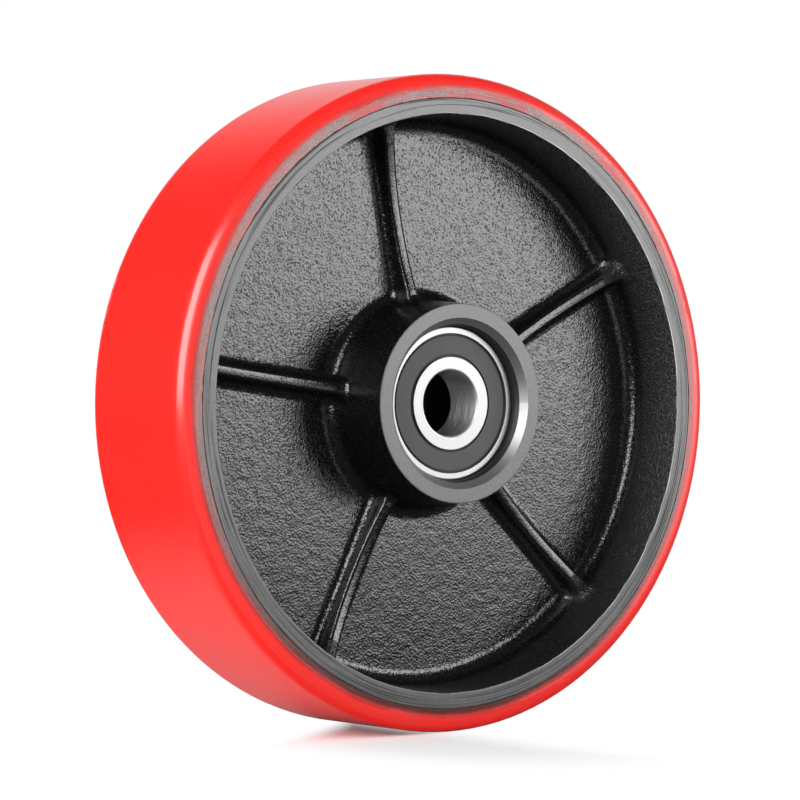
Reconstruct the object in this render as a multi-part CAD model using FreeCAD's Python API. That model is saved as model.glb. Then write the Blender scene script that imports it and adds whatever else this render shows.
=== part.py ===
import FreeCAD, Part
import math
import os

from FreeCAD import Vector

# Cast-iron wheel with a bonded polyurethane tread, turning on two sealed ball bearings.
# Lengths are in millimetres. The wheel spins about +Y, the side seen first faces -Y and +Z is up.

# Tread
tyre_diameter = 200.0
tread_thickness = 7.4
tyre_shoulder_radius = 5.0
bond_gap = 0.01

# Cast wheel: rim, web and hub
rim_width = 50.0
rim_wall = 4.9
rim_edge_chamfer = 0.3
cast_edge_radius = 0.35
web_thickness = 8.0
web_fillet = 4.5
hub_length = 54.0
hub_face_diameter = 60.6
casting_draft = 4.0
mouth_chamfer = 1.9
lead_in_width = 0.6
lead_in_depth = 1.4
bearing_recess = 5.0
abutment_height = 3.0
seat_gap = 0.01

# Ribs on both sides of the web
rib_count = 5
rib_turn = 100.1
rib_height = 4.2
rib_end_rise = 4.4
rib_top_width = 4.2
rib_draft = 5.0
rib_edge_radius = 1.2
rib_root_radius = 3.0

# Deep-groove ball bearing
bearing_bore = 20.0
bearing_outside = 47.0
bearing_width = 14.0
bore_corner_radius = 1.1
outside_corner_radius = 0.7
shoulder_gap = 4.8
ball_count = 8
ball_diameter = 7.938
race_conformity = 0.52
race_clearance = 0.05

# Riveted ribbon cage
cage_width = 3.4
cage_sheet = 0.7
pocket_clearance = 0.1
rivet_diameter = 1.5
rivet_head_diameter = 2.2
rivet_head_height = 0.45
rivet_gap = 0.02

# Rubber seals
outer_face_width = 1.45
seal_inset = 0.4
seal_thickness = 1.1
seal_bead_height = 0.4
seal_bead_thickness = 0.7
seal_land_depth = 0.3
seal_edge_width = 0.9
seal_lip_width = 0.9
seal_lip_step = 0.4
seal_lip_clearance = 0.04
seal_side_clearance = 0.3
seal_seat_gap = 0.02

# Radii and half widths that follow
tyre_radius = tyre_diameter / 2
bond_radius = tyre_radius - tread_thickness
rim_half = rim_width / 2
web_half = web_thickness / 2
hub_half = hub_length / 2
hub_face_radius = hub_face_diameter / 2
draft_slope = math.tan(math.radians(casting_draft))
hub_root_radius = hub_face_radius + (hub_half - web_half) * draft_slope
rim_mouth_radius = bond_radius - rim_wall
rim_root_radius = rim_mouth_radius - (rim_half - web_half) * draft_slope
bore_radius = bearing_bore / 2
outside_radius = bearing_outside / 2
bearing_half = bearing_width / 2
pitch_radius = (bore_radius + outside_radius) / 2
bearing_offset = hub_half - bearing_recess - bearing_half
ball_radius = ball_diameter / 2
inner_shoulder_radius = pitch_radius - shoulder_gap / 2
outer_shoulder_radius = pitch_radius + shoulder_gap / 2
seal_outer_face = bearing_half - seal_inset
seal_inner_face = seal_outer_face - seal_thickness
seal_land_radius = inner_shoulder_radius - seal_land_depth
seal_mouth_radius = outside_radius - outside_corner_radius - outer_face_width
seal_groove_radius = seal_mouth_radius + seal_bead_height
cage_inside = pitch_radius - cage_width / 2
cage_outside = pitch_radius + cage_width / 2
pocket_radius = ball_radius + pocket_clearance

ORIGIN = Vector(0, 0, 0)
SPIN_AXIS = Vector(0, 1, 0)


def turned(points):
    """Solid turned about the spin axis from a closed outline of (radius, axial place) points."""
    corners = [Vector(radius, axial, 0) for radius, axial in points]
    outline = Part.makePolygon(corners + corners[:1])
    return Part.Face(outline).revolve(ORIGIN, SPIN_AXIS, 360)


def both_sides(points):
    """Outline that is the same on both sides of the middle plane, from the points of its +Y half."""
    return points + [(radius, -axial) for radius, axial in reversed(points)]


def rounded(shape, radius, size, axial):
    """Rounds the circular edges of one size that lie at +axial and -axial."""
    edges = []
    for edge in shape.Edges:
        if isinstance(edge.Curve, Part.Circle):
            same_size = abs(edge.Curve.Radius - size) < 1e-4
            same_place = abs(abs(edge.Curve.Center.y) - axial) < 1e-4
            if same_size and same_place:
                edges.append(edge)
    return shape.makeFillet(radius, edges)


def spaced(shape, count, first=0.0):
    """Copies of a shape, evenly spaced about the spin axis; first turns them all."""
    copies = []
    for number in range(count):
        copy = shape.copy()
        copy.rotate(ORIGIN, SPIN_AXIS, first + number * 360 / count)
        copies.append(copy)
    return copies


def tyre():
    """Polyurethane tread, bonded to the rim and flush with its faces, with rounded shoulders."""
    ring = turned(both_sides([
        (bond_radius + bond_gap, rim_half),
        (tyre_radius, rim_half),
    ]))
    return rounded(ring, tyre_shoulder_radius, tyre_radius, rim_half)


def cast_body():
    """Rim, web and hub as one turned form, with the bearing seats, before the ribs are added."""
    seat_radius = outside_radius + seat_gap
    seat_end = bearing_offset - bearing_half
    lead_in_radius = seat_radius + lead_in_width
    lead_in_start = hub_half - mouth_chamfer
    body = turned(both_sides([
        (outside_radius - abutment_height, seat_end),
        (seat_radius, seat_end),
        (seat_radius, lead_in_start - lead_in_depth),
        (lead_in_radius, lead_in_start),
        (lead_in_radius + mouth_chamfer, hub_half),
        (hub_face_radius, hub_half),
        (hub_root_radius, web_half),
        (rim_root_radius, web_half),
        (rim_mouth_radius, rim_half),
        (bond_radius - rim_edge_chamfer, rim_half),
        (bond_radius, rim_half - rim_edge_chamfer),
    ]))
    body = rounded(body, web_fillet, hub_root_radius, web_half)
    body = rounded(body, web_fillet, rim_root_radius, web_half)
    body = rounded(body, cast_edge_radius, hub_face_radius, hub_half)
    return rounded(body, cast_edge_radius, rim_mouth_radius, rim_half)


def rib():
    """One rib along +X on the +Y side: drafted sides, and a top of one width that sags between hub and rim."""
    start = (outside_radius + hub_face_radius) / 2
    end = (rim_mouth_radius + bond_radius) / 2
    middle = (start + end) / 2
    low = web_half + rib_height
    high = low + rib_end_rise
    slope = math.tan(math.radians(rib_draft))
    top_half = rib_top_width / 2
    sections = []
    for place, top in ((start, high), (middle, low), (end, high)):
        foot_half = top_half + top * slope
        sections.append(Part.makePolygon([
            Vector(place, 0, -foot_half),
            Vector(place, top, -top_half),
            Vector(place, top, top_half),
            Vector(place, 0, foot_half),
            Vector(place, 0, -foot_half),
        ]))
    blank = Part.makeLoft(sections, True)
    edges = [edge for edge in blank.Edges if edge.Length > middle - start and edge.CenterOfMass.y > web_half]
    return blank.makeFillet(rib_edge_radius, edges)


def cast_wheel():
    """The casting: turned body with ribs on both sides, each blended into web, hub and rim."""
    body = cast_body()
    front = spaced(rib(), rib_count, -rib_turn)
    ribs = front + [one.mirror(ORIGIN, SPIN_AXIS) for one in front]
    seams = Part.makeCompound([body.section(one) for one in ribs])
    casting = body.multiFuse(ribs)
    roots = []
    for edge in casting.Edges:
        first, last = edge.ParameterRange
        middle = Part.Vertex(edge.valueAt((first + last) / 2))
        if middle.distToShape(seams)[0] < 1e-3:
            roots.append(edge)
    return casting.makeFillet(rib_root_radius, roots)


def race_groove(is_inner):
    """Torus that cuts a ring's ball groove, set so that the balls just clear its bottom."""
    groove_radius = ball_diameter * race_conformity
    shift = groove_radius - ball_radius - race_clearance
    centre = pitch_radius + shift if is_inner else pitch_radius - shift
    return Part.makeTorus(centre, groove_radius, ORIGIN, SPIN_AXIS)


def inner_ring():
    """Ring on the axle, with rounded bore edges and a land on each side for a seal's lip."""
    land_end = seal_inner_face - seal_side_clearance
    blank = turned(both_sides([
        (bore_radius, bearing_half),
        (seal_land_radius, bearing_half),
        (seal_land_radius, land_end),
        (inner_shoulder_radius, land_end),
    ]))
    ring = rounded(blank, bore_corner_radius, bore_radius, bearing_half)
    return ring.cut(race_groove(is_inner=True))


def outer_ring():
    """Ring in the hub, with rounded outside edges and a groove on each side for a seal's bead."""
    groove_end = seal_inner_face + seal_bead_thickness + 2 * seal_seat_gap
    blank = turned(both_sides([
        (outer_shoulder_radius, seal_inner_face),
        (seal_groove_radius, seal_inner_face),
        (seal_groove_radius, groove_end),
        (seal_mouth_radius, groove_end),
        (seal_mouth_radius, bearing_half),
        (outside_radius, bearing_half),
    ]))
    ring = rounded(blank, outside_corner_radius, outside_radius, bearing_half)
    return ring.cut(race_groove(is_inner=False))


def seal():
    """Rubber seal of the +Y side: a bead that snaps into the outer ring, a low edge and a stepped lip."""
    back = seal_inner_face + seal_seat_gap
    bead_front = back + seal_bead_thickness
    lip_radius = seal_land_radius + seal_lip_clearance
    lip_front = seal_outer_face - seal_lip_step
    return turned([
        (lip_radius, back),
        (seal_groove_radius - seal_seat_gap, back),
        (seal_groove_radius - seal_seat_gap, bead_front),
        (seal_mouth_radius - seal_edge_width, bead_front),
        (seal_mouth_radius - seal_edge_width, seal_outer_face),
        (lip_radius + seal_lip_width, seal_outer_face),
        (lip_radius + seal_lip_width, lip_front),
        (lip_radius, lip_front),
    ])


def balls():
    """The balls, evenly spaced on the pitch circle."""
    ball = Part.makeSphere(ball_radius, Vector(pitch_radius, 0, 0))
    return spaced(ball, ball_count)


def rivet():
    """Cage rivet between the first two balls: a shank with a low rounded head at each end."""
    head_radius = rivet_head_diameter / 2
    shank_radius = rivet_diameter / 2
    head_end = cage_sheet + rivet_head_height
    centre = Vector(pitch_radius, 0, 0)
    shank = Part.makeCylinder(shank_radius, 2 * cage_sheet, centre - SPIN_AXIS * cage_sheet, SPIN_AXIS)
    head = Part.makeCylinder(head_radius, rivet_head_height, centre + SPIN_AXIS * cage_sheet, SPIN_AXIS)
    rim_edges = [edge for edge in head.Edges if abs(edge.BoundBox.YMin - head_end) < 1e-4]
    head = head.makeFillet(rivet_head_height / 2, rim_edges)
    pin = shank.multiFuse([head, head.mirror(ORIGIN, SPIN_AXIS)])
    pin.rotate(ORIGIN, SPIN_AXIS, 180 / ball_count)
    return pin


def cage_half():
    """Pressed ribbon of the +Y side: a flat ring with a domed pocket over each ball."""
    dome_radius = pocket_radius + cage_sheet
    flat = turned([(cage_inside, 0), (cage_inside, cage_sheet), (cage_outside, cage_sheet), (cage_outside, 0)])
    band = turned([(cage_inside, 0), (cage_inside, dome_radius), (cage_outside, dome_radius), (cage_outside, 0)])
    place = Vector(pitch_radius, 0, 0)
    domes = [band.common(dome) for dome in spaced(Part.makeSphere(dome_radius, place), ball_count)]
    pockets = spaced(Part.makeSphere(pocket_radius, place), ball_count)
    hole = Part.makeCylinder(rivet_diameter / 2 + rivet_gap, cage_sheet, place, SPIN_AXIS)
    holes = spaced(hole, ball_count, 180 / ball_count)
    return flat.multiFuse(domes).cut(Part.makeCompound(pockets + holes)).removeSplitter()


def bearing():
    """All pieces of one bearing about the origin, by name; outboard is the +Y side."""
    pieces = {
        "inner_ring": inner_ring(),
        "outer_ring": outer_ring(),
        "cage_outboard": cage_half(),
        "cage_rivets": Part.makeCompound(spaced(rivet(), ball_count)),
        "seal_outboard": seal(),
    }
    for name in ("cage", "seal"):
        pieces[name + "_inboard"] = pieces[name + "_outboard"].mirror(ORIGIN, SPIN_AXIS)
    for number, ball in enumerate(balls(), 1):
        pieces["ball_" + str(number)] = ball
    return pieces


os.makedirs("parts", exist_ok=True)
nodes = {"tyre": tyre(), "cast_wheel": cast_wheel()}
for name, piece in bearing().items():
    rear = piece.copy()
    rear.translate(SPIN_AXIS * bearing_offset)
    nodes["rear_" + name] = rear
    nodes["front_" + name] = rear.mirror(ORIGIN, SPIN_AXIS)
for name, piece in nodes.items():
    piece.exportStep("parts/" + name + ".step")
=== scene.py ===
import math

import bpy
from bpy.props import FloatProperty, FloatVectorProperty, IntProperty, PointerProperty
from bpy.types import Operator, Panel, PropertyGroup
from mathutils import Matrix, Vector


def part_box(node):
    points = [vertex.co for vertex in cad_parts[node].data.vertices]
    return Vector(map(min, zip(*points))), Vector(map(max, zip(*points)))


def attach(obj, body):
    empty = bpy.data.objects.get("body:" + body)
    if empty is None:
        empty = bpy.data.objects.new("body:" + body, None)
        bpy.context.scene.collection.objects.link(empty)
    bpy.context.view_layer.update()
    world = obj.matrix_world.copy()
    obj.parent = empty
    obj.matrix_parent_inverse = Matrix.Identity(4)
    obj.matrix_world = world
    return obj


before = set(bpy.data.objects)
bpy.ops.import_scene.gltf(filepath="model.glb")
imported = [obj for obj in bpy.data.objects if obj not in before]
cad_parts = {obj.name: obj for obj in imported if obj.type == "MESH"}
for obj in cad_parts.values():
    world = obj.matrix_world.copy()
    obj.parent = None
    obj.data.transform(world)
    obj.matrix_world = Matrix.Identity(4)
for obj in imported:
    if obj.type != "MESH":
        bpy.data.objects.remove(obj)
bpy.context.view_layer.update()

bl_info = {
    "name": "Pallet truck steering wheel",
    "version": (1, 0, 0),
    "blender": (4, 5, 0),
    "location": "View3D > Sidebar > Wheel",
    "description": "Finishes of a polyurethane-tyred cast wheel on two sealed ball bearings",
    "category": "Object",
}

MM = 0.001
TYRE_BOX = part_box("tyre")
CASTING_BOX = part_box("cast_wheel")
TYRE_RADIUS = TYRE_BOX[1].z
RIM_RADIUS = CASTING_BOX[1].z
HUB_HALF = CASTING_BOX[1].y
RIM_HALF = TYRE_BOX[1].y
SIDES = ("front", "rear")
RIBS = 5
SMOOTH_ANGLE = math.radians(40)
MERGE_DISTANCE = 0.02 * MM

# Bands on the wheel, each from where a mask starts to where it is full

TYRE_SIDE = (RIM_HALF - 1.5 * MM, RIM_HALF - 1.0 * MM)
FILM_EDGE = (-1.4 * MM, 0.9 * MM)
RIM_FACE = (RIM_HALF - 0.75 * MM, RIM_HALF - 0.45 * MM)
RIM_FACE_EDGE = (-0.08 * MM, 0.08 * MM)
# Inner edge of the rim face that gets bright bare metal: partly a real burr, partly a painted highlight
BURR_AND_HIGHLIGHT_END = (0.1 * MM, 0.32 * MM)
SCORES_START = (0.1 * MM, 0.8 * MM)
HUB_FACE = (HUB_HALF - 0.2 * MM, HUB_HALF - 0.1 * MM)
RIB_HEIGHT = (5.5 * MM, 8 * MM)
RIB_START = (33.5 * MM, 35 * MM)
RIB_END = (83 * MM, 85 * MM)
WALL_RADIUS = (79 * MM, 80.5 * MM)
WALL_HEIGHT = (7 * MM, 11 * MM)
# Where grey grains are painted on the rim's inner walls as painted light
PAINTED_LIGHT_RADIUS = (79 * MM, 81 * MM)
PAINTED_LIGHT_HEIGHT = (6 * MM, 24 * MM)

# Bands of a lean about the axle, which is 1 on one side and -1 on the other

# The side where that edge is brightest, which places its painted highlight
BURRED_AND_LIT_SIDE = (-0.2, 0.8)
# The side about the axle where that painted light on the rim's inner walls is strongest
PAINTED_LIGHT_SIDE = (-0.1, 0.9)

# Bands of noise, whose values mostly lie from 0.3 to 0.75

MOST_NOISE = (0.3, 0.75)
SPECKS = (0.42, 0.72)
RED_STREAKS = (0.48, 0.60)
PITS = (0.26, 0.48)
# Grains that carry the painted light on the rim's inner walls
PAINTED_LIGHT_GRAINS = (0.42, 0.62)
SCORES = (0.515, 0.575)
FLECKS = (0.35, 0.7)
SMEARS = (0.45, 0.8)

# Tones of marks, and of painted shade on the seals, as factors of a finish's own colour

SPECK_TONE = 0.35
RED_STREAK_TONE = 0.6
FADE_TONE = 0.5
DARK_FLECK_TONE = 0.8
PALE_FLECK_TONE = 1.2
SCORE_TONE = 0.1
HAZE_TONE = 0.94
SMEAR_TONE = 0.8
STAIN_TONE = 0.8
BLOOM_TONE = 1.5
# Painted shade in the step under a seal's raised face
SEAL_SHADE_TONE = 0.3

# Bands of the floor, in metres

SHADOW_END = (0.017, 0.053)
SHADOW_RIGHT = (-0.02, 0.008)
SHADOW_LEFT = (0.0125, 0.0266)
FAR_FLOOR = (0.3, 0.6)
NEAR_FLOOR = (0.08, 0.25)
NEAR_RIGHT = (-0.04, 0.02)
NEAR_FRONT = (0.0, 0.02)

# Bands of a direction's share along another direction

BACKDROP_EDGE = (-1.1, -0.6)
FACING_EDGE = (0.6, 0.95)
LEFT_WALL = (0.0, 0.9)
RIGHT_WALL = (0.65, 0.95)
RIGHT_DIM = (0.62, 0.85)


# Values that a user would change


def size(name, description, default):
    """A length that is shown in the scene's own unit."""
    return FloatProperty(name=name, description=description, default=default, min=0, unit="LENGTH",
                         precision=5)


def share(name, description, default):
    """A plain number from none to all."""
    return FloatProperty(name=name, description=description, default=default, min=0, max=1, subtype="FACTOR")


def weight(name, description, default):
    """A plain number that may be over 1."""
    return FloatProperty(name=name, description=description, default=default, min=0)


def count(name, description, default, least):
    """A whole number."""
    return IntProperty(name=name, description=description, default=default, min=least)


def colour(name, description, default):
    """A colour in linear light."""
    return FloatVectorProperty(name=name, description=description, default=default, size=3, min=0, max=1,
                               subtype="COLOR")


def angle(name, description, degrees):
    """A direction or a spread, shown in degrees. About the axle it is counted up from +X."""
    return FloatProperty(name=name, description=description, default=math.radians(degrees), subtype="ANGLE")


class TreadSettings(PropertyGroup):
    """The cast polyurethane of the tyre and the bond to its rim."""

    red: colour("Red", "Body colour of the polyurethane", (0.86, 0.012, 0.007))
    roughness: share("Roughness", "Roughness of the moulded skin", 0.20)
    side_roughness: share("Side roughness", "How much rougher the tyre's sides are", 0.1)
    skin_roughness: share("Skin roughness", "How much the roughness varies over the skin", 0.05)
    skin: size("Skin", "Size of those changes", 30 * MM)
    gloss: share("Gloss", "Strength of the skin's reflection", 1.0)

    film: colour("Film", "Thin polyurethane over pale primer beside the rim", (0.30, 0.195, 0.185))
    dark_film: colour("Dark film", "The same over dark primer, on the other half", (0.10, 0.018, 0.012))
    film_width: size("Film width", "Mean width of the thin film beside the rim", 2.2 * MM)
    film_lean: size("Film lean", "How much wider the film is on its wide side", 1.4 * MM)
    film_wide: angle("Film wide side", "Where the film is widest, about the axle", 118)
    film_pale: angle("Film pale side", "Where the film is palest, about the axle", 80)
    film_smudge: size("Film smudge", "How much wider the film is on its dark side", 1.2 * MM)
    film_wander: size("Film wander", "How far the film's edge wanders in all", 2.0 * MM)
    film_wave: size("Film wave", "Size of the waves in which it wanders", 22 * MM)
    film_tear: size("Film tear", "How far the film's edge is torn on its dark side", 0.48 * MM)
    pale_tear: size("Pale tear", "How much further it is torn on its pale side", 0.96 * MM)
    rag: size("Rag", "Size of the rags on that edge", 1.6 * MM)
    stroke: size("Stroke", "Width of the strokes in the film", 0.6 * MM)
    stroke_length: size("Stroke length", "Length of the strokes round the axle", 9 * MM)
    dark_streak: share("Dark streak", "How much the strokes shade the dark side of the film", 0.2)
    pale_streak: share("Pale streak", "How much more they shade its pale side", 0.7)
    red_streak: share("Red streak", "How much red the pale side shows between strokes", 0.9)
    speck: size("Speck", "Size of the dark specks in the film", 0.6 * MM)
    speck_share: share("Speck share", "How dark the specks are", 0.6)
    speck_depth: size("Speck depth", "Depth of the specks", 0.01 * MM)
    fade: weight("Fade", "How far the red deepens where the film ends", 1.6)
    pale_roughness: share("Pale roughness", "How much rougher the film's pale side is than its dark", 0.3)
    dark_shine: share("Dark shine", "How much smoother the dark side of the film is than the skin", 0.16)

    primer: colour("Primer", "Dark primer in the joint", (0.012, 0.011, 0.011))
    pale_primer: colour("Pale primer", "Lumps of that primer", (0.07, 0.05, 0.048))
    primer_lump: size("Primer lump", "Size of the lumps", 0.8 * MM)
    primer_depth: size("Primer depth", "Depth of the lumps", 0.08 * MM)
    primer_roughness: share("Primer roughness", "Roughness of the primer", 0.6)
    lump_roughness: share("Lump roughness", "How much rougher the lumps are", 0.3)
    primer_gloss: share("Primer gloss", "Strength of the primer's reflection", 0.2)
    bead_radius: size("Bond bead radius", "Section of the primer bead in the joint", 0.26 * MM)
    bead_place: size("Bond bead place", "Radius of the primer bead's middle", RIM_RADIUS - 0.05 * MM)
    bead_sunk: share("Bond bead sunk", "How deep its middle lies, as a share of its section", 0.9)
    bead_corners: count("Bond bead corners", "Corners of its section", 8, 6)
    bead_steps: count("Bond bead steps", "Sections round the bead", 360, 48)
    bead_lump: size("Bond bead lump", "Size of the soft lumps that are pressed into the bead", 1.6 * MM)
    bead_press: size("Bond bead press", "How far they are pressed", 0.22 * MM)


class CastingSettings(PropertyGroup):
    """The painted iron casting and its machined faces."""

    paint: colour("Paint", "Gloss black paint", (0.003, 0.003, 0.0032))
    # Painted light: a grey on the grains of the rim's inner walls stands in for light that they catch,
    # lightest on one side.
    painted_wall_light: colour("Dust", "Dull spray on the sandy walls inside the rim", (0.05, 0.05, 0.05))
    # Where that painted light on the inner walls is strongest, about the axle.
    painted_light_side: angle("Dusty side", "Where those walls are dullest, about the axle", 35)
    gloss: share("Gloss", "Strength of the casting's reflection", 1.0)
    paint_roughness: share("Paint roughness", "Roughness of the paint on the grains", 0.17)
    pit_roughness: share("Pit roughness", "How much rougher the pits between the grains are", 0.36)
    wall_roughness: share("Wall roughness", "How much rougher the rim's inner walls are", 0.22)
    grain: size("Sand grain", "Size of the grain that the sand mould leaves", 0.62 * MM)
    grain_depth: size("Grain depth", "Depth of that grain", 0.12 * MM)
    wall_grain: weight("Wall grain", "How much deeper it is on the rim's inner walls, in grain depths", 3.0)
    dent: size("Dent", "Size of the dents in the sand mould", 2.6 * MM)
    dent_share: share("Dent share", "Depth of the dents, as a share of the grain's", 0.7)
    swell: size("Swell", "Size of the swells of the sand mould", 14 * MM)
    swell_share: share("Swell share", "Depth of the swells, as a share of the grain's", 0.4)
    rib_turn: angle("Rib turn", "Where the first rib lies, about the axle", 28)
    rib_half: size("Rib half width", "Half the width of a rib's top", 1.5 * MM)
    rib_crown: size("Rib crown", "How far a rib's top is rounded over that half width", 0.16 * MM)
    rib_smooth: share("Rib smooth", "How much less sandy the ribs are", 0.3)

    iron: colour("Iron", "Turned iron of the rim and hub faces", (0.09, 0.0905, 0.0905))
    mouth_iron: colour("Mouth iron", "Brighter iron of the chamfered mouths", (0.62, 0.62, 0.62))
    # Painted shade: the bearing seats get a darker iron for the shade deep in their recess.
    seat_iron_painted_shade: colour("Seat iron", "Oiled iron of the bearing seats", (0.05, 0.05, 0.05))
    iron_roughness: share("Iron roughness", "Roughness of the turned faces", 0.26)
    seat_roughness: share("Seat roughness", "How much rougher the bearing seats are", 0.08)
    bare_metal: share("Bare metal", "How metallic the bearing seats and burrs are", 0.75)
    mouth_metal: share("Mouth metal", "How metallic the chamfered mouths are", 0.97)
    fleck: size("Fleck", "Size of the flecks in the iron", 0.7 * MM)
    fleck_roughness: share("Fleck roughness", "How much the flecks change the roughness", 0.12)
    rim_inner: size("Rim face inner radius", "Where the turned rim face ends", RIM_RADIUS - 4.8 * MM)
    edge_wander: size("Edge wander", "How far that end wanders in all", 0.9 * MM)
    edge_wave: size("Edge wave", "Size of the waves in which it wanders", 9 * MM)
    # Bright bare metal on the rim face's inner edge: a real burr in part, and a painted highlight that is
    # strongest on one side.
    burred_and_lit: angle("Burred side", "Where the rim face's inner edge is most burred, about the axle", 10)
    least_burr_and_highlight: share("Least burr", "How much burr there is on the other side", 0.15)
    mouth: size("Hub mouth radius", "Outer radius of the turned mouth in the hub face", 26.01 * MM)
    mouth_edge: size("Mouth edge", "Width of that mouth's edge", 0.03 * MM)
    chamfer: size("Chamfer", "Depth of the mouth's chamfer", 1.9 * MM)
    chamfer_edge: size("Chamfer edge", "Half the width of the chamfer's end", 0.05 * MM)
    turning_pitch: size("Turning pitch", "Pitch of the tool marks on the turned faces", 0.42 * MM)
    turning_depth: size("Turning depth", "Depth of the tool marks", 0.012 * MM)
    boring: weight("Boring", "Depth of the marks in the bearing seats, in turning depths", 1.6)
    scored: angle("Scored side", "Where the rim face is scored least, about the axle", 80)
    unscored: size("Unscored", "Width that is free of scores there", 1.9 * MM)
    score: size("Score", "Width of the scores", 0.32 * MM)
    score_length: size("Score length", "Length of the scores round the axle", 45 * MM)
    score_share: share("Score share", "How dark the scores are", 0.8)
    score_roughness: share("Score roughness", "How much rougher the scores are", 0.35)


class BearingSettings(PropertyGroup):
    """The bearings' steel and rubber."""

    steel: colour("Steel", "Ground bearing steel", (0.58, 0.58, 0.585))
    steel_roughness: share("Steel roughness", "Roughness of the ground faces", 0.36)
    haze: size("Haze", "Size of the haze on the ground faces", 4 * MM)
    haze_roughness: share("Haze roughness", "How much the haze changes the roughness", 0.06)
    grinding_pitch: size("Grinding pitch", "Pitch of the grinding marks", 0.22 * MM)
    grinding_depth: size("Grinding depth", "Depth of the grinding marks", 0.003 * MM)
    grinding_roughness: share("Grinding roughness", "How much they change the roughness", 0.05)
    bore_steel: colour("Bore steel", "Honed steel of the bores", (0.76, 0.76, 0.76))
    bore_roughness: share("Bore roughness", "Roughness of the bores and their rounded edges", 0.36)
    bore_edge: size("Bore edge", "Radius at which the bore's rounded edge meets the face", 11.1 * MM)
    bore_fade: size("Bore fade", "Width over which the honed steel fades into the ground", 0.3 * MM)
    honing_pitch: size("Honing pitch", "Pitch of the honing marks round the bores", 0.15 * MM)
    honing_depth: size("Honing depth", "Depth at which those marks are shaded", 0.16 * MM)

    ball_roughness: share("Ball roughness", "Roughness of the balls", 0.05)
    smear: size("Smear", "Size of the grease smears on the balls", 2.5 * MM)
    smear_roughness: share("Smear roughness", "How much rougher the smears are", 0.2)

    sheet: colour("Sheet", "Pressed cage sheet", (0.50, 0.49, 0.46))
    sheet_roughness: share("Sheet roughness", "Roughness of the sheet", 0.3)
    drawing: size("Drawing", "Size of the marks of drawing on the sheet", 0.5 * MM)
    drawing_depth: size("Drawing depth", "Depth of those marks", 0.01 * MM)
    drawing_roughness: share("Drawing roughness", "How much they change the roughness", 0.15)
    stain: size("Stain", "Size of the stains on the sheet", 5 * MM)

    rubber: colour("Rubber", "Nitrile rubber of the seals", (0.056, 0.056, 0.057))
    rubber_roughness: share("Rubber roughness", "Roughness of the moulded rubber", 0.42)
    rubber_skin: size("Rubber skin", "Size of the grain of the rubber's skin", 0.35 * MM)
    rubber_ring: size("Rubber ring", "Pitch of the fine rings in the rubber", 0.5 * MM)
    rubber_depth: size("Rubber depth", "Depth of grain and rings", 0.012 * MM)
    ring_share: share("Ring share", "Share of the rings in that depth", 0.4)
    skin_roughness: share("Skin roughness", "How much the grain changes the roughness", 0.1)
    bloom: size("Bloom", "Size of the bloom on the rubber", 6 * MM)
    bloom_share: share("Bloom share", "How pale the bloom is", 0.6)
    bloom_roughness: share("Bloom roughness", "How much rougher the bloom is", 0.05)
    seal_face: size("Seal face", "From the wheel's middle to the raised face of a seal", 21.6 * MM)
    # Painted shade: the rubber under a seal's raised face is darkened, from just under that face down to its
    # darkest.
    seal_shade_start: size("Seal lip", "How far under that face the darker lip starts", 0.1 * MM)
    seal_shade_deepest: size("Seal low", "How far under that face the rubber is darkest", 0.25 * MM)


class StageSettings(PropertyGroup):
    """Floor, lights, world and camera."""

    floor: colour("Floor", "Pale floor", (0.90, 0.90, 0.90))
    floor_size: size("Floor size", "Length and width of the floor", 12)
    floor_cuts: count("Floor cuts", "Cuts along each side of the floor", 9, 1)
    floor_lift: share("Floor lift", "How far the floor by the wheel is lifted to the white ground", 0.03)
    floor_true: share("Floor true", "How much gloss shows of the lit floor by the wheel", 0.55)
    shadow_place: size("Shadow place", "How far in front of the wheel the shadow is left deepest", 44 * MM)
    shadow_turn: angle("Shadow turn", "How far that place is turned from the camera", 6.5)
    shadow_long: share("Shadow long", "Width of the shadow over its length", 0.5)
    shadow_side: angle("Shadow side", "Where the floor lies that is kept white at the left", -141.5)
    surround: share("Surround", "Level of the world's plain light", 0.62)
    shade: share("Shade", "Level that gloss shows round the white backdrop", 0.05)
    facing: angle("Facing", "Where the floor lies that the flat faces show to the camera", 36.6)
    left_wall: share("Left wall", "Level that gloss shows of a wall to the left", 0.15)
    right_wall: share("Right wall", "Level that gloss shows of a wall to the right", 0.5)
    right_dim: share("Right dim", "How much darker all that gloss shows is on the right", 0.4)
    key: weight("Key light", "Brightness of the large softbox to the left, where 1 is white", 5.5)
    side: weight("Side light", "Brightness of the softbox to the right, where 1 is white", 4.4)
    azimuth: angle("Azimuth", "Camera's turn about the upright axis", -36.56)
    elevation: angle("Elevation", "Camera's height over the horizon", 0.87)
    distance: size("Distance", "From the camera to the wheel's middle", 1214.5 * MM)
    aside: size("Aside", "How far the wheel's middle lies right of the view's middle", 2.33 * MM)
    below: size("Below", "How far the wheel's middle lies below the view's middle", 0.72 * MM)
    lens: weight("Lens", "Focal length in millimetres", 177.38)
    sensor: weight("Sensor", "Width of the camera's sensor in millimetres", 36)


class WheelSettings(PropertyGroup):
    """All settings of the part."""

    tread: PointerProperty(type=TreadSettings)
    casting: PointerProperty(type=CastingSettings)
    bearing: PointerProperty(type=BearingSettings)
    stage: PointerProperty(type=StageSettings)


# Shader expressions


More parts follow.
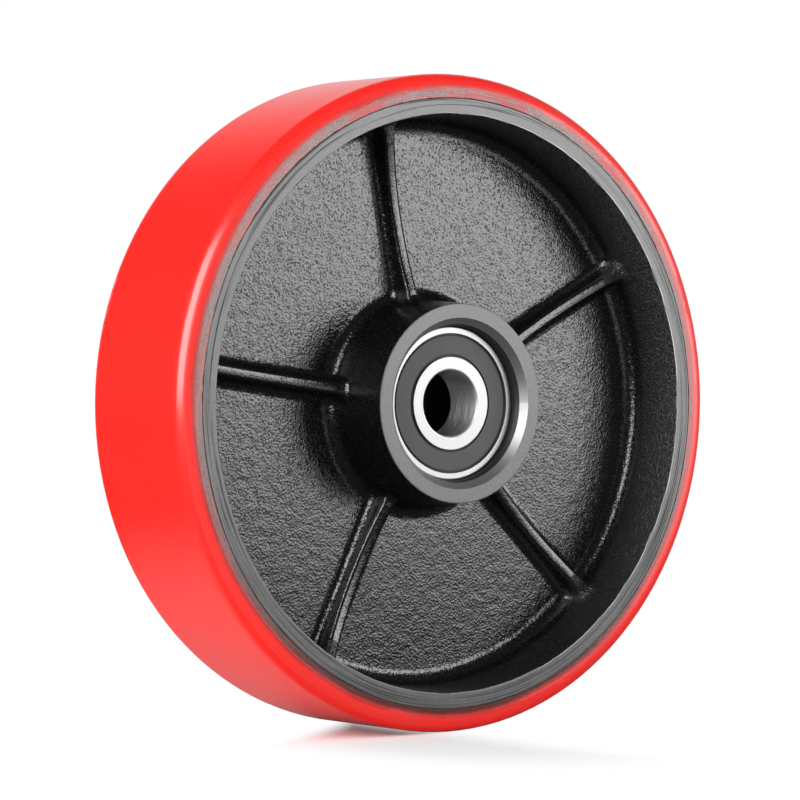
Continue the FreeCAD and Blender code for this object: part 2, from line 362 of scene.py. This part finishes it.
class Socket:
    """An output of a shader node. Arithmetic on it adds Math nodes."""

    def __init__(self, finish, output):
        self.finish = finish
        self.output = output

    def sibling(self, name):
        """Another output of the same node."""
        return Socket(self.finish, self.output.node.outputs[name])

    def math(self, operation, *others):
        """A Math node on this value and the others."""
        return self.finish.math(operation, self, *others)

    def __add__(self, other):
        return self.math("ADD", other)

    def __radd__(self, other):
        return self.math("ADD", other)

    def __sub__(self, other):
        return self.math("SUBTRACT", other)

    def __rsub__(self, other):
        return self.finish.math("SUBTRACT", other, self)

    def __mul__(self, other):
        return self.math("MULTIPLY", other)

    def __rmul__(self, other):
        return self.math("MULTIPLY", other)

    def __truediv__(self, other):
        return self.math("DIVIDE", other)

    def __abs__(self):
        return self.math("ABSOLUTE")

    def __neg__(self):
        return self.math("MULTIPLY", -1.0)

    def sqrt(self):
        """Square root."""
        return self.math("SQRT")

    def largest(self, other):
        """The larger of two values."""
        return self.math("MAXIMUM", other)

    def rise(self, low, high):
        """Goes smoothly from 0 at low to 1 at high."""
        return self.finish.node("ShaderNodeMapRange", {"interpolation_type": "SMOOTHSTEP"},
                                {"Value": self, "From Min": low, "From Max": high})


class Finish:
    """A material being made, and the one way in which nodes are added to it."""

    def __init__(self, tree):
        self.tree = tree
        self.tree.nodes.clear()

    def node(self, kind, settings=None, sockets=None, output=0):
        """Adds a node, sets its settings first, then fills or links its sockets, and gives one output."""
        made = self.tree.nodes.new(kind)
        for name, value in (settings or {}).items():
            setattr(made, name, value)
        for name, value in (sockets or {}).items():
            if isinstance(value, Socket):
                self.tree.links.new(value.output, made.inputs[name])
            else:
                made.inputs[name].default_value = value
        return Socket(self, made.outputs[output]) if made.outputs else made

    def math(self, operation, *values):
        """A Math node on values or sockets, in order."""
        return self.node("ShaderNodeMath", {"operation": operation}, dict(enumerate(values)))

    def point(self):
        """Object coordinates in metres."""
        return self.node("ShaderNodeTexCoord", output="Object")

    def parts(self, point):
        """The three coordinates of a point."""
        across = self.node("ShaderNodeSeparateXYZ", None, {"Vector": point}, output="X")
        return across, across.sibling("Y"), across.sibling("Z")

    def noise(self, point, feature, detail=2.0, roughness=0.5, distortion=0.0):
        """Fractal noise whose features are about one feature size across."""
        return self.node("ShaderNodeTexNoise", None, {
            "Vector": point, "Scale": 1 / feature, "Detail": detail, "Roughness": roughness,
            "Distortion": distortion})

    def rings(self, place, pitch, detail=3.0, roughness=0.65):
        """Uneven rings about the axle, like the marks of a turning tool."""
        return self.node("ShaderNodeTexNoise", {"noise_dimensions": "1D"},
                         {"W": place, "Scale": 1 / pitch, "Detail": detail, "Roughness": roughness})

    def drawn_out(self, point, radius, wide, long):
        """Noise whose features are wide across the radius and long round the axle."""
        across, _, upright = self.parts(point)
        drawn = self.node("ShaderNodeCombineXYZ", None,
                          {"X": radius / wide, "Y": across / long, "Z": upright / long})
        return self.noise(drawn, 1.0)

    def lean(self, point, radius, towards):
        """From 1 on the side that lies at an angle about the axle to -1 on the other."""
        across, _, upright = self.parts(point)
        return (across * math.cos(towards) + upright * math.sin(towards)) / radius

    def blend(self, factor, first, second):
        """Mixes two colours."""
        return self.node("ShaderNodeMix", {"data_type": "RGBA", "clamp_factor": True},
                         {0: factor, 6: opaque(first), 7: opaque(second)}, output=2)

    def mixed(self, factor, first, second):
        """Mixes two values."""
        return self.node("ShaderNodeMix", {"data_type": "FLOAT", "clamp_factor": True},
                         {0: factor, 2: first, 3: second})

    def bump(self, height, depth, normal=None):
        """A relief whose height from 0 to 1 is the given depth."""
        sockets = {"Strength": 1.0, "Distance": depth, "Height": height}
        if normal is not None:
            sockets["Normal"] = normal
        return self.node("ShaderNodeBump", None, sockets)

    def surface(self, **sockets):
        """Ends the material in a Principled shader, with the given sockets."""
        named = {name.replace("_", " ").title().replace("Ior", "IOR"): value
                 for name, value in sockets.items()}
        shader = self.node("ShaderNodeBsdfPrincipled", None, named)
        self.node("ShaderNodeOutputMaterial", None, {"Surface": shader})


def opaque(value):
    """A colour with its alpha, or a socket as it is."""
    return value if isinstance(value, Socket) else (*value, 1.0)


def times(value, factor):
    """A colour that is darker or lighter by a factor."""
    return tuple(factor * part for part in value)


def new_finish(name):
    """A new material and the Finish that fills it."""
    material = bpy.data.materials.new(name)
    material.use_nodes = True
    return material, Finish(material.node_tree)


def axle_place(finish):
    """Object coordinates, and the distances from the axle's axis and from the wheel's middle plane."""
    point = finish.point()
    across, along, upright = finish.parts(point)
    radius = (across * across + upright * upright).sqrt()
    return point, radius, abs(along)


def seen_by(finish):
    """Whether the camera sees a place itself, and whether it sees it in gloss or through glass."""
    ray = finish.node("ShaderNodeLightPath", output="Is Camera Ray")
    return ray, ray.sibling("Is Glossy Ray").largest(ray.sibling("Is Transmission Ray"))


# Finishes


def tread_polyurethane(tread):
    """Glossy red polyurethane that thins to a film over the primer beside the rim."""
    material, finish = new_finish("tread_polyurethane")
    point, radius, height = axle_place(finish)
    wander = finish.noise(point, tread.film_wave, detail=4.0) - 0.5
    ragged = finish.noise(point, tread.rag, detail=3.0) - 0.5
    strokes = finish.drawn_out(point, radius, tread.stroke, tread.stroke_length)
    pale = finish.lean(point, radius, tread.film_pale) * 0.5 + 0.5
    width = tread.film_width + finish.lean(point, radius, tread.film_wide) * tread.film_lean
    width = width + (1 - pale) * tread.film_smudge
    torn = (ragged + strokes - 0.5) * (pale * tread.pale_tear + tread.film_tear)
    edge = radius - RIM_RADIUS - width - wander * tread.film_wander - torn
    on_side = height.rise(*TYRE_SIDE)
    film = (1 - edge.rise(*FILM_EDGE)) * on_side

    specks = finish.noise(point, tread.speck, detail=3.0, roughness=0.7).rise(*SPECKS)
    streaks = (strokes - 0.5) * (pale * tread.pale_streak + tread.dark_streak)
    red_streaks = (wander + strokes).rise(*RED_STREAKS) * pale * tread.red_streak
    thin = finish.blend(pale + streaks, tread.dark_film, tread.film)
    thin = finish.blend(specks * tread.speck_share, thin, times(tread.dark_film, SPECK_TONE))
    thin = finish.blend(red_streaks, thin, times(tread.red, RED_STREAK_TONE))
    fading = film * (1 - film) * tread.fade
    skin = finish.noise(point, tread.skin, detail=1.0)
    rough_skin = tread.roughness + on_side * tread.side_roughness + skin * tread.skin_roughness
    finish.surface(
        base_color=finish.blend(fading, finish.blend(film, tread.red, thin), times(tread.red, FADE_TONE)),
        roughness=rough_skin + film * (pale * tread.pale_roughness - tread.dark_shine),
        specular_ior_level=tread.gloss,
        normal=finish.bump(specks * film, tread.speck_depth),
    )
    return material


def bond_primer(tread):
    """Dark primer squeezed out where the tyre is bonded on."""
    material, finish = new_finish("bond_primer")
    lumps = finish.noise(finish.point(), tread.primer_lump, detail=3.0)
    finish.surface(
        base_color=finish.blend(lumps.rise(*MOST_NOISE), tread.primer, tread.pale_primer),
        roughness=tread.primer_roughness + lumps * tread.lump_roughness,
        specular_ior_level=tread.primer_gloss,
        normal=finish.bump(lumps, tread.primer_depth),
    )
    return material


def painted_casting(casting):
    """Gloss black paint over sand-cast iron, with bare turned faces at the rim, the hub and the seats,
    painted light on the rim's inner walls, painted shade in the seats and a painted highlight on the rim
    face's inner edge.
    """
    material, finish = new_finish("painted_casting")
    point, radius, height = axle_place(finish)

    wander = finish.noise(point, casting.edge_wave, detail=2.0) - 0.5
    from_edge = radius + wander * casting.edge_wander - casting.rim_inner
    rim_face = from_edge.rise(*RIM_FACE_EDGE) * height.rise(*RIM_FACE)
    # The rim face's inner edge gets bright bare metal, partly a real burr and partly a painted highlight
    # leaning to one side.
    burred_and_lit = finish.lean(point, radius, casting.burred_and_lit).rise(*BURRED_AND_LIT_SIDE)
    burred_and_lit = burred_and_lit * (1 - casting.least_burr_and_highlight) + casting.least_burr_and_highlight
    burr_and_highlight = rim_face * (1 - from_edge.rise(*BURR_AND_HIGHLIGHT_END)) * burred_and_lit
    hub_face = height.rise(*HUB_FACE)
    bored = 1 - radius.rise(casting.mouth - casting.mouth_edge, casting.mouth)
    chamfer_end = HUB_HALF - casting.chamfer
    mouth = bored * height.rise(chamfer_end - casting.chamfer_edge, chamfer_end + casting.chamfer_edge)
    turned = rim_face.largest(hub_face).largest(bored)

    on_rib = height.rise(*RIB_HEIGHT) * radius.rise(*RIB_START) * (1 - radius.rise(*RIB_END))
    across, _, upright = finish.parts(point)
    turn = upright.math("ARCTAN2", across) - casting.rib_turn
    off = radius * turn.math("WRAP", math.pi / RIBS, -math.pi / RIBS) / casting.rib_half
    crown = finish.bump((1 - off * off) * on_rib, casting.rib_crown)

    swell = finish.noise(point, casting.swell, detail=2.0)
    dents = finish.noise(point, casting.dent, detail=0.0)
    grain = finish.noise(point, casting.grain, detail=1.0, roughness=0.4)
    sandy = 1 - on_rib * casting.rib_smooth
    wall = radius.rise(*WALL_RADIUS) * height.rise(*WALL_HEIGHT)
    pits = (1 - grain.rise(*PITS)) * sandy
    relief = grain * (sandy + wall * casting.wall_grain)
    relief = relief + dents * casting.dent_share + swell * casting.swell_share
    # Painted light: grey grains on the rim's inner walls, strongest on one side about the axle.
    painted_wall_light = radius.rise(*PAINTED_LIGHT_RADIUS) * height.rise(*PAINTED_LIGHT_HEIGHT) * grain.rise(*PAINTED_LIGHT_GRAINS)
    painted_wall_light = painted_wall_light * finish.lean(point, radius, casting.painted_light_side).rise(*PAINTED_LIGHT_SIDE)
    paint = finish.blend(painted_wall_light, casting.paint, casting.painted_wall_light)
    rough_paint = casting.paint_roughness + pits * casting.pit_roughness + wall * casting.wall_roughness

    smooth_side = finish.lean(point, radius, casting.scored) * 0.5 + 0.5
    scores = finish.drawn_out(point, radius, casting.score, casting.score_length).rise(*SCORES)
    scores = scores * rim_face * (from_edge - smooth_side * casting.unscored).rise(*SCORES_START)
    fleck = finish.noise(point, casting.fleck, detail=3.0, roughness=0.7)
    dark_iron = times(casting.iron, DARK_FLECK_TONE)
    pale_iron = times(casting.iron, PALE_FLECK_TONE)
    iron = finish.blend(fleck.rise(*FLECKS), dark_iron, pale_iron)
    iron = finish.blend(scores * casting.score_share, iron, times(casting.iron, SCORE_TONE))
    # Painted shade: the seats inside the mouth are darkened with that darker iron.
    iron = finish.blend(bored, iron, casting.seat_iron_painted_shade)
    # Bright iron in the chamfered mouths, and on the rim face's inner edge as burr and painted highlight.
    iron = finish.blend(mouth.largest(burr_and_highlight), iron, casting.mouth_iron)
    rough_iron = casting.iron_roughness + fleck * casting.fleck_roughness
    rough_iron = rough_iron + scores * casting.score_roughness + bored * casting.seat_roughness
    face_marks = finish.rings(radius, casting.turning_pitch) * turned * (1 - bored)
    bore_marks = finish.rings(height, casting.turning_pitch) * bored * casting.boring
    tooled = finish.bump(face_marks + bore_marks, casting.turning_depth, crown)

    finish.surface(
        base_color=finish.blend(turned, paint, iron),
        metallic=(bored.largest(burr_and_highlight) * casting.bare_metal).largest(mouth * casting.mouth_metal),
        roughness=finish.mixed(turned, rough_paint, rough_iron),
        specular_ior_level=casting.gloss,
        normal=finish.bump(finish.mixed(turned, relief, 0.0), casting.grain_depth, tooled),
    )
    return material


def ground_steel(bearing):
    """Ground bearing ring steel with faint grinding rings, and a honed bore."""
    material, finish = new_finish("ground_steel")
    point, radius, height = axle_place(finish)
    marks = finish.rings(radius, bearing.grinding_pitch)
    honed = finish.rings(height, bearing.honing_pitch, detail=1.0)
    haze = finish.noise(point, bearing.haze, detail=3.0)
    bore = 1 - radius.rise(bearing.bore_edge - bearing.bore_fade, bearing.bore_edge)
    ground = bearing.steel_roughness + haze * bearing.haze_roughness + marks * bearing.grinding_roughness
    steel = finish.blend(haze.rise(*MOST_NOISE), times(bearing.steel, HAZE_TONE), bearing.steel)
    finish.surface(
        base_color=finish.blend(bore, steel, bearing.bore_steel),
        metallic=1.0,
        roughness=finish.mixed(bore, ground, bearing.bore_roughness),
        normal=finish.bump(honed * bore, bearing.honing_depth, finish.bump(marks, bearing.grinding_depth)),
    )
    return material


def polished_ball_steel(bearing):
    """Mirror steel of the balls under a thin grease haze."""
    material, finish = new_finish("polished_ball_steel")
    smear = finish.noise(finish.point(), bearing.smear, detail=3.0, distortion=0.6).rise(*SMEARS)
    finish.surface(
        base_color=finish.blend(smear, bearing.steel, times(bearing.steel, SMEAR_TONE)),
        metallic=1.0,
        roughness=bearing.ball_roughness + smear * bearing.smear_roughness,
    )
    return material


def pressed_sheet(bearing):
    """Drawn sheet steel of the cages and their rivets."""
    material, finish = new_finish("pressed_sheet")
    point = finish.point()
    drawn = finish.noise(point, bearing.drawing, detail=4.0, roughness=0.65)
    stain = finish.noise(point, bearing.stain, detail=2.0).rise(*MOST_NOISE)
    finish.surface(
        base_color=finish.blend(stain, bearing.sheet, times(bearing.sheet, STAIN_TONE)),
        metallic=1.0,
        roughness=bearing.sheet_roughness + drawn * bearing.drawing_roughness,
        normal=finish.bump(drawn, bearing.drawing_depth),
    )
    return material


def seal_rubber(bearing):
    """Moulded nitrile rubber with a matt bloom, and painted shade on the lip and edge that lie under its
    raised face.
    """
    material, finish = new_finish("seal_rubber")
    point, radius, height = axle_place(finish)
    skin = finish.noise(point, bearing.rubber_skin, detail=3.0, roughness=0.6)
    bloom = finish.noise(point, bearing.bloom, detail=3.0).rise(*MOST_NOISE)
    rings = finish.rings(radius, bearing.rubber_ring, detail=1.0)
    # Painted shade: the rubber under the raised face is darkened for the shade in the step.
    raised = height.rise(bearing.seal_face - bearing.seal_shade_deepest, bearing.seal_face - bearing.seal_shade_start)
    rubber = finish.blend(bloom * bearing.bloom_share, bearing.rubber, times(bearing.rubber, BLOOM_TONE))
    rough_skin = bearing.rubber_roughness + skin * bearing.skin_roughness
    relief = skin * (1 - bearing.ring_share) + rings * bearing.ring_share
    finish.surface(
        base_color=finish.blend(raised, times(bearing.rubber, SEAL_SHADE_TONE), rubber),
        roughness=rough_skin + bloom * bearing.bloom_roughness,
        normal=finish.bump(relief, bearing.rubber_depth),
    )
    return material


def pale_floor(stage):
    """White floor that keeps the wheel's shadow and runs out into the white ground."""
    material, finish = new_finish("pale_floor")
    across, along, _ = finish.parts(finish.point())
    reach = (across * across + along * along).sqrt()
    ray, gloss = seen_by(finish)

    def towards(direction):
        """How far a place of the floor lies in a direction."""
        return across * direction.x + along * direction.y

    deepest = view_direction(stage.azimuth + stage.shadow_turn, 0) * stage.shadow_place
    aside = across - deepest.x
    ahead = (along - deepest.y) * stage.shadow_long
    clear = (aside * aside + ahead * ahead).sqrt().rise(*SHADOW_END)
    clear = clear.largest(across.rise(*SHADOW_RIGHT))
    clear = clear.largest(towards(view_direction(stage.shadow_side, 0)).rise(*SHADOW_LEFT))
    lift = clear * (1 - stage.floor_lift) + stage.floor_lift

    behind = 1 - (towards(view_direction(stage.azimuth, stage.elevation)) / reach).rise(*BACKDROP_EDGE)
    before = (towards(view_direction(stage.facing, 0)) / reach).rise(*FACING_EDGE) * reach.rise(*FAR_FLOOR)
    away = reach.rise(*NEAR_FLOOR).largest(across.rise(*NEAR_RIGHT)).largest((-along).rise(*NEAR_FRONT))
    away = away * stage.floor_true + (1 - stage.floor_true)
    level = finish.mixed(gloss, 1.0, stage.shade + behind.largest(before) * (1 - stage.shade))

    matt = finish.node("ShaderNodeBsdfDiffuse", None, {"Color": opaque(tuple(stage.floor))})
    white = finish.node("ShaderNodeEmission", None, {"Strength": level})
    mix = finish.node("ShaderNodeMixShader", None, {0: ray * lift + gloss * away, 1: matt, 2: white})
    finish.node("ShaderNodeOutputMaterial", None, {"Surface": mix})
    return material


# Modelling helpers


def dress(material, nodes):
    """Puts a material in the slots of the given CAD nodes."""
    for name in nodes:
        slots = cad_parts[name].material_slots
        if not slots:
            raise RuntimeError(f"{name} has no material slot")
        for slot in slots:
            slot.material = material


def view_direction(azimuth, elevation):
    """From the wheel towards a place round it: azimuth 0 is in front, and elevation is over the horizon."""
    flat = math.cos(elevation)
    return Vector((math.sin(azimuth) * flat, -math.cos(azimuth) * flat, math.sin(elevation)))


def start_clean():
    """Leaves edit mode and deselects everything, so that the next operator acts on its own piece alone."""
    if bpy.context.object and bpy.context.object.mode != "OBJECT":
        bpy.ops.object.mode_set(mode="OBJECT")
    bpy.ops.object.select_all(action="DESELECT")


def settle(piece, name, material, body):
    """Names a finished piece, puts its place in its mesh, dresses it and lets it ride on its body."""
    start_clean()
    piece.select_set(True)
    bpy.context.view_layer.objects.active = piece
    bpy.ops.object.transform_apply(location=True, rotation=True, scale=True)
    bpy.ops.object.shade_smooth_by_angle(angle=SMOOTH_ANGLE)
    piece.name = name
    piece.data.name = name
    piece.data.materials.clear()
    piece.data.materials.append(material)
    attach(piece, body)


def uneven(piece, lump, depth):
    """Presses soft lumps into a piece."""
    texture = bpy.data.textures.new(f"{piece.name}_lumps", "CLOUDS")
    texture.noise_scale = lump
    press = piece.modifiers.new("lumps", "DISPLACE")
    press.texture = texture
    press.texture_coords = "LOCAL"
    press.strength = depth
    press.mid_level = 0.5
    bpy.ops.object.modifier_apply(modifier=press.name)


# Operators, one for each piece or group of like pieces


class WHEEL_OT_tyre(Operator):
    """Finishes the tyre and lays a bead of primer in the joint on each side of its rim"""

    bl_idname = "wheel.tyre"
    bl_label = "Tyre"

    def execute(self, context):
        tread = context.scene.wheel.tread
        dress(tread_polyurethane(tread), ["tyre"])
        primer = bond_primer(tread)
        for side, turn in zip(SIDES, (-1, 1)):
            self.bead(tread, primer, side, turn)
        return {"FINISHED"}

    def bead(self, tread, primer, side, turn):
        """Spins a small round section about the axle into a bead."""
        start_clean()
        face = turn * (RIM_HALF - tread.bead_sunk * tread.bead_radius)
        bpy.ops.mesh.primitive_circle_add(vertices=tread.bead_corners, radius=tread.bead_radius,
                                          fill_type="NOTHING", location=(tread.bead_place, face, 0))
        piece = bpy.context.object
        bpy.ops.object.transform_apply(location=True, rotation=True, scale=True)
        bpy.ops.object.mode_set(mode="EDIT")
        bpy.ops.mesh.select_all(action="SELECT")
        bpy.ops.mesh.spin(steps=tread.bead_steps, angle=math.tau, center=(0, 0, 0), axis=(0, 1, 0))
        bpy.ops.mesh.select_all(action="SELECT")
        bpy.ops.mesh.remove_doubles(threshold=MERGE_DISTANCE)
        bpy.ops.mesh.normals_make_consistent(inside=False)
        bpy.ops.object.mode_set(mode="OBJECT")
        uneven(piece, tread.bead_lump, tread.bead_press)
        settle(piece, f"bond_bead_{side}", primer, "wheel")


class WHEEL_OT_casting(Operator):
    """Finishes the painted casting and its turned faces"""

    bl_idname = "wheel.casting"
    bl_label = "Casting"

    def execute(self, context):
        dress(painted_casting(context.scene.wheel.casting), ["cast_wheel"])
        return {"FINISHED"}


class WHEEL_OT_bearings(Operator):
    """Finishes the rings, balls, cages, rivets and seals of both bearings"""

    bl_idname = "wheel.bearings"
    bl_label = "Bearings"

    def execute(self, context):
        bearing = context.scene.wheel.bearing
        finishes = {
            "ring": ground_steel(bearing),
            "ball": polished_ball_steel(bearing),
            "cage": pressed_sheet(bearing),
            "seal": seal_rubber(bearing),
        }
        for side in SIDES:
            for word, material in finishes.items():
                nodes = [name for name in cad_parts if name.startswith(side) and word in name]
                dress(material, nodes)
        return {"FINISHED"}


class WHEEL_OT_stage(Operator):
    """Sets the floor, the lights, the world and the camera"""

    bl_idname = "wheel.stage"
    bl_label = "Stage"

    def execute(self, context):
        stage = context.scene.wheel.stage
        context.scene.view_settings.view_transform = "Standard"
        self.floor(stage)
        self.world(context.scene, stage)
        self.softbox("key_light", stage.key, azimuth=-75, elevation=22, distance=1.5, width=1.18, tall=1.2)
        self.softbox("side_light", stage.side, azimuth=45, elevation=8.5, distance=1.6, width=1.2, tall=0.55)
        self.camera(context.scene, stage)
        return {"FINISHED"}

    def floor(self, stage):
        """A wide floor under the tyre."""
        start_clean()
        bpy.ops.mesh.primitive_plane_add(size=stage.floor_size, location=(0, 0, -TYRE_RADIUS))
        piece = bpy.context.object
        bpy.ops.object.transform_apply(location=True, rotation=True, scale=True)
        bpy.ops.object.mode_set(mode="EDIT")
        bpy.ops.mesh.subdivide(number_cuts=stage.floor_cuts)
        bpy.ops.object.mode_set(mode="OBJECT")
        piece.name = "floor"
        piece.data.materials.append(pale_floor(stage))

    def world(self, scene, stage):
        """Plain light all round, with a white backdrop that the camera and the gloss see."""
        world = bpy.data.worlds.new("studio")
        world.use_nodes = True
        scene.world = world
        finish = Finish(world.node_tree)
        ray, gloss = seen_by(finish)
        direction = finish.node("ShaderNodeTexCoord", output="Generated")
        back = tuple(view_direction(stage.azimuth, stage.elevation))
        towards = finish.node("ShaderNodeVectorMath", {"operation": "DOT_PRODUCT"},
                              {0: direction, 1: back}, "Value")
        across, _, _ = finish.parts(direction)
        left = (-across).rise(*LEFT_WALL) * stage.left_wall
        walls = left + across.rise(*RIGHT_WALL) * stage.right_wall
        studio = walls.largest(1 - towards.rise(*BACKDROP_EDGE) * (1 - stage.shade))
        studio = studio * (1 - across.rise(*RIGHT_DIM) * stage.right_dim)
        level = finish.mixed(ray, finish.mixed(gloss, stage.surround, studio), 1.0)
        ground = finish.node("ShaderNodeBackground", None, {"Color": (1, 1, 1, 1), "Strength": level})
        finish.node("ShaderNodeOutputWorld", None, {"Surface": ground})

    def softbox(self, name, level, azimuth, elevation, distance, width, tall):
        """An area light of the given brightness that faces the wheel."""
        towards = view_direction(math.radians(azimuth), math.radians(elevation))
        light = bpy.data.lights.new(name, "AREA")
        light.shape = "RECTANGLE"
        light.size = width
        light.size_y = tall
        light.energy = level * math.pi * width * tall
        lamp = bpy.data.objects.new(name, light)
        bpy.context.scene.collection.objects.link(lamp)
        lamp.location = towards * distance
        lamp.rotation_euler = (-towards).to_track_quat("-Z", "Y").to_euler()

    def camera(self, scene, stage):
        """The camera at the view's angle, aimed a little beside the wheel's middle."""
        back = view_direction(stage.azimuth, stage.elevation)
        right = Vector((math.cos(stage.azimuth), math.sin(stage.azimuth), 0))
        up = back.cross(right)
        data = bpy.data.cameras.new("camera")
        data.lens = stage.lens
        data.sensor_width = stage.sensor
        data.clip_start = 0.05
        data.clip_end = 60
        lens = bpy.data.objects.new("camera", data)
        scene.collection.objects.link(lens)
        lens.location = back * stage.distance - right * stage.aside + up * stage.below
        lens.rotation_euler = (-back).to_track_quat("-Z", "Y").to_euler()
        scene.camera = lens


class WHEEL_PT_panel(Panel):
    """Lists the part's settings and steps"""

    bl_idname = "WHEEL_PT_panel"
    bl_label = "Steering wheel"
    bl_space_type = "VIEW_3D"
    bl_region_type = "UI"
    bl_category = "Wheel"

    def draw(self, context):
        wheel = context.scene.wheel
        for group, step in ((wheel.tread, WHEEL_OT_tyre), (wheel.casting, WHEEL_OT_casting),
                            (wheel.bearing, WHEEL_OT_bearings), (wheel.stage, WHEEL_OT_stage)):
            box = self.layout.box()
            for name in group.__annotations__:
                box.prop(group, name)
            box.operator(step.bl_idname)


CLASSES = (TreadSettings, CastingSettings, BearingSettings, StageSettings, WheelSettings, WHEEL_OT_tyre,
           WHEEL_OT_casting, WHEEL_OT_bearings, WHEEL_OT_stage, WHEEL_PT_panel)


def register():
    """Makes the settings, operators and panel known."""
    for kind in CLASSES:
        bpy.utils.register_class(kind)
    bpy.types.Scene.wheel = PointerProperty(type=WheelSettings)


def unregister():
    """Takes them away again."""
    del bpy.types.Scene.wheel
    for kind in reversed(CLASSES):
        bpy.utils.unregister_class(kind)


def main():
    """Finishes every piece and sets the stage."""
    register()
    bpy.ops.wheel.tyre()
    bpy.ops.wheel.casting()
    bpy.ops.wheel.bearings()
    bpy.ops.wheel.stage()


if __name__ == "__main__":
    main()
